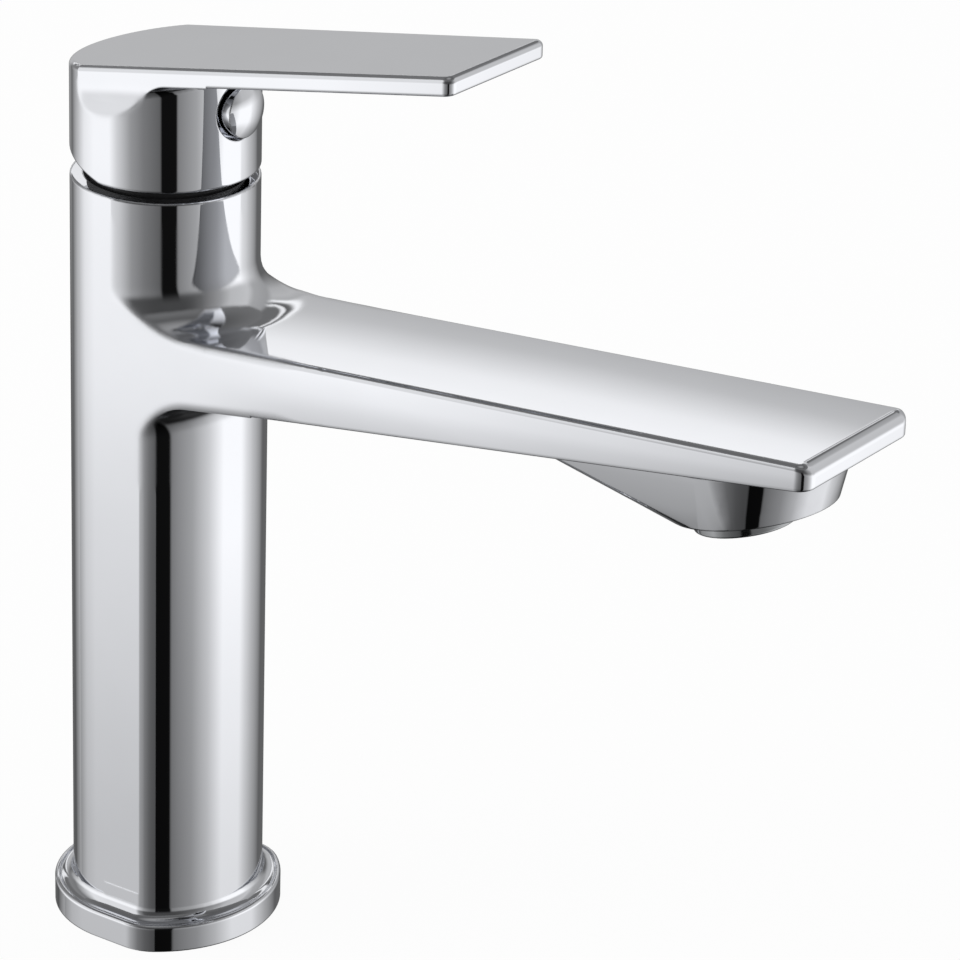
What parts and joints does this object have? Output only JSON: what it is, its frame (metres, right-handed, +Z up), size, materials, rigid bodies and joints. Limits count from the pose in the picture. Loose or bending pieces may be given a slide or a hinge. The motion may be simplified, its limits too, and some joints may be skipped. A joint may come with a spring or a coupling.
{
  "type": "basin mixer faucet",
  "caption": "Tall single-lever basin mixer: a chromed column with a flat rising spout, aerator outlet, flat lever handle that lifts and turns, and a ceramic cartridge inside.",
  "frame": {"origin": "on the column's axis, on the deck that the base ring stands on", "axes": "+Z up along the column, +X along the spout towards the user, +Y to the user's right"},
  "size_m": [0.2053, 0.0506, 0.2254],
  "materials": {
    "chrome": "polished chrome plating",
    "dark_chrome": "chrome plating seen in shade",
    "rubber": "matte black",
    "ceramic": "lapped white ceramic",
    "white_plastic": "moulded",
    "grey_plastic": "moulded",
    "black_plastic": "moulded, black",
    "red_plastic": "moulded",
    "steel": "turned stainless steel",
    "brass": "turned brass"
  },
  "bodies": {
    "faucet": {"body_casting": "chrome", "base_ring": "chrome", "base_gasket": "rubber", "aerator_shell": "dark_chrome", "aerator_insert": "grey_plastic", "aerator_screen": "white_plastic", "aerator_washer": "rubber", "cartridge_base": "white_plastic", "port_seals": "rubber", "cartridge_housing": "white_plastic", "fixed_disc": "ceramic", "glide_ring": "grey_plastic", "limit_ring": "red_plastic", "cartridge_nut": "brass", "trim_collar": "black_plastic", "collar_oring": "rubber"},
    "swivel": {"stem_guide": "white_plastic", "pivot_pin": "steel"},
    "lever": {"handle": "chrome", "lever_stem": "steel", "set_screw": "steel", "handle_plug": "chrome"},
    "disc_slider": {"disc_carrier": "white_plastic", "moving_disc": "ceramic"}
  },
  "joints": [
    {"name": "temperature_turn", "type": "hinge", "parent": "faucet", "child": "swivel", "pos_m": [0, 0, 0.172], "axis": [0, 0, 1], "range_deg": [-50, 50]},
    {"name": "lever_lift", "type": "hinge", "parent": "swivel", "child": "lever", "pos_m": [0, 0, 0.172], "axis": [0, -1, 0], "range_deg": [0, 17]},
    {"name": "disc_slide", "type": "slide", "parent": "swivel", "child": "disc_slider", "axis": [1, 0, 0], "range_m": [0, 0.0033]}
  ],
  "couplings": [
    {"joint": "disc_slide", "follows": "lever_lift", "m_per_rad": 0.0106}
  ]
}
